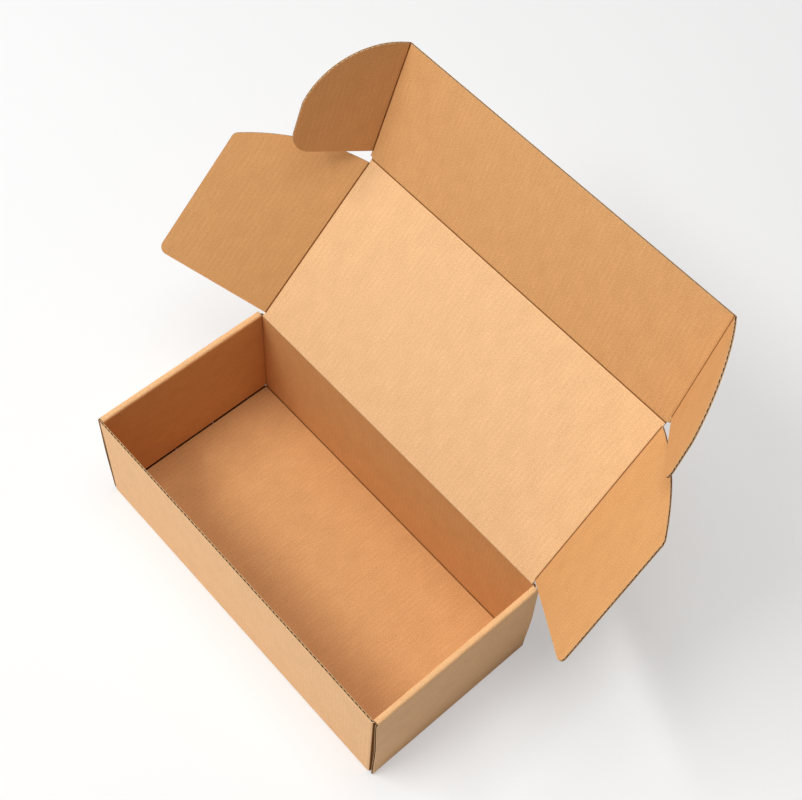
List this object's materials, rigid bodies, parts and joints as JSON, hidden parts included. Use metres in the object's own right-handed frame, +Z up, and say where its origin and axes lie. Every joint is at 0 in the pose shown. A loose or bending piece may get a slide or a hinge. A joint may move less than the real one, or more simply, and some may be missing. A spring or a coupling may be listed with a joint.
{
  "type": "corrugated mailer box",
  "caption": "Long, shallow mailer box folded from one sheet of corrugated board, standing open: double side walls with rolled tops, hinged lid, tuck flap, side flaps and ears.",
  "frame": {"origin": "middle of the underside of the tray's floor", "axes": "+Z up, +X along the length towards the right end, +Y from the front wall to the rear wall that the lid hinges on"},
  "size_m": [0.3677, 0.2465, 0.2561],
  "materials": {
    "kraft_board": "matte"
  },
  "bodies": {
    "tray": {"tray": "kraft_board"},
    "lid": {"lid": "kraft_board"},
    "tuck_flap": {"tuck_flap": "kraft_board"},
    "left_lid_flap": {"left_lid_flap": "kraft_board"},
    "right_lid_flap": {"right_lid_flap": "kraft_board"},
    "left_ear": {"left_ear": "kraft_board"},
    "right_ear": {"right_ear": "kraft_board"}
  },
  "joints": [
    {"name": "lid_fold", "type": "hinge", "parent": "tray", "child": "lid", "pos_m": [0, 0.0633, 0.0863], "axis": [1, 0, 0], "range_deg": [-43.7, 58]},
    {"name": "tuck_fold", "type": "hinge", "parent": "lid", "child": "tuck_flap", "pos_m": [0, 0.15338, 0.17238], "axis": [1, 0, 0], "range_deg": [-26.5, 20]},
    {"name": "left_lid_flap_fold", "type": "hinge", "parent": "lid", "child": "left_lid_flap", "pos_m": [-0.1247, 0.0633, 0.0863], "axis": [0, 0.723, 0.6909], "range_deg": [-37, 53]},
    {"name": "right_lid_flap_fold", "type": "hinge", "parent": "lid", "child": "right_lid_flap", "pos_m": [0.1247, 0.0633, 0.0863], "axis": [0, -0.723, -0.6909], "range_deg": [-46.8, 43.2]},
    {"name": "left_ear_fold", "type": "hinge", "parent": "tuck_flap", "child": "left_ear", "pos_m": [-0.1263, 0.15338, 0.17238], "axis": [0, 0.3387, 0.9409], "range_deg": [-70, 20]},
    {"name": "right_ear_fold", "type": "hinge", "parent": "tuck_flap", "child": "right_ear", "pos_m": [0.1263, 0.15338, 0.17238], "axis": [0, -0.3387, -0.9409], "range_deg": [-58, 32]}
  ]
}
